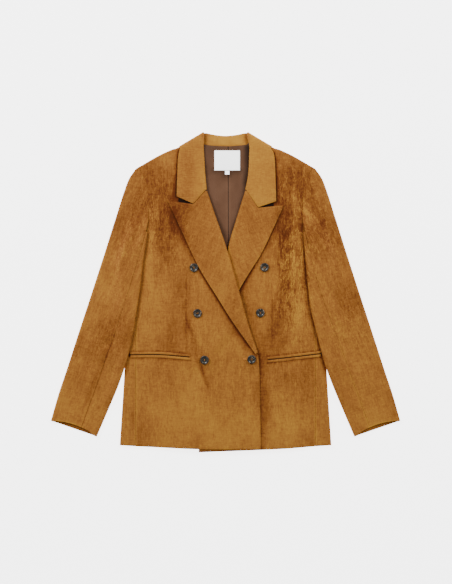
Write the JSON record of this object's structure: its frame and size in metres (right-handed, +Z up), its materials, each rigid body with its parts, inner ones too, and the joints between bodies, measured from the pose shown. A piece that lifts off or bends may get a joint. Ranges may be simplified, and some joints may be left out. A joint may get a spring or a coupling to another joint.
{
  "type": "double breasted blazer",
  "caption": "Double breasted blazer in brown pile cloth with peak lapels, welt pockets and long sleeves, laid flat on its back, fronts buttoned, as worn over a shirt.",
  "frame": {"origin": "bottom centre of the bounding box: on the surface it lies on, halfway across and halfway up the jacket", "axes": "+X across the jacket towards the wearer's left, +Y from the hem to the collar, +Z up out of the chest"},
  "size_m": [0.7996, 0.7329, 0.0212],
  "materials": {
    "pile_cloth": "short crushed pile, soft sheen",
    "satin_lining": "matte satin",
    "woven_label": "plain woven",
    "horn_button": "polished marbled horn"
  },
  "bodies": {
    "root": {"back": "pile_cloth", "side_panel_right": "pile_cloth", "front_right": "pile_cloth", "lapel_right": "pile_cloth", "lining_back_right": "satin_lining", "top_sleeve_right": "pile_cloth", "under_sleeve_right": "pile_cloth", "pocket_right_welt_upper": "pile_cloth", "pocket_right_welt_lower": "pile_cloth", "side_panel_left": "pile_cloth", "front_left": "pile_cloth", "lapel_left": "pile_cloth", "lining_back_left": "satin_lining", "top_sleeve_left": "pile_cloth", "under_sleeve_left": "pile_cloth", "pocket_left_welt_upper": "pile_cloth", "pocket_left_welt_lower": "pile_cloth", "collar": "pile_cloth", "label": "woven_label", "size_tab": "woven_label", "button_right_top": "horn_button", "button_right_middle": "horn_button", "button_right_low": "horn_button", "button_left_top": "horn_button", "button_left_middle": "horn_button", "button_edge_low": "horn_button"}
  },
  "joints": []
}
